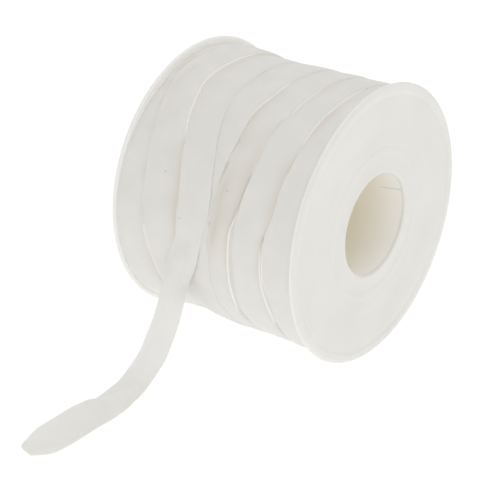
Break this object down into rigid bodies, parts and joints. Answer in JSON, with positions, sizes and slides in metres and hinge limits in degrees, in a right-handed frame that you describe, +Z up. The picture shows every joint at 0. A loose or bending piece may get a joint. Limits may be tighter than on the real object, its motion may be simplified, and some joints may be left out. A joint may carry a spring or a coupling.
{
  "type": "velvet ribbon roll on a plastic spool",
  "caption": "Roll of white velvet ribbon wound in overlapping turns on a plain white flanged plastic spool with a hollow core, its loose end hanging down the front onto the floor.",
  "frame": {"origin": "bottom centre of the whole object's box, on the floor under the loose end side of the spool", "axes": "+Z up; X along the spool's axis, with the flange nearest the camera at +X; the loose end lies along the floor towards -Y"},
  "size_m": [0.062, 0.138, 0.0797],
  "materials": {
    "plastic": "white moulded plastic, slightly satin",
    "core_plastic": "cream moulded plastic, matt",
    "velvet": "white velvet, short dense pile with thin woven selvedges"
  },
  "bodies": {
    "root": {"flange_left": "plastic", "flange_right": "plastic", "core_tube": "core_plastic", "ribbon_pack": "velvet", "ribbon_tail": "velvet"}
  },
  "joints": []
}
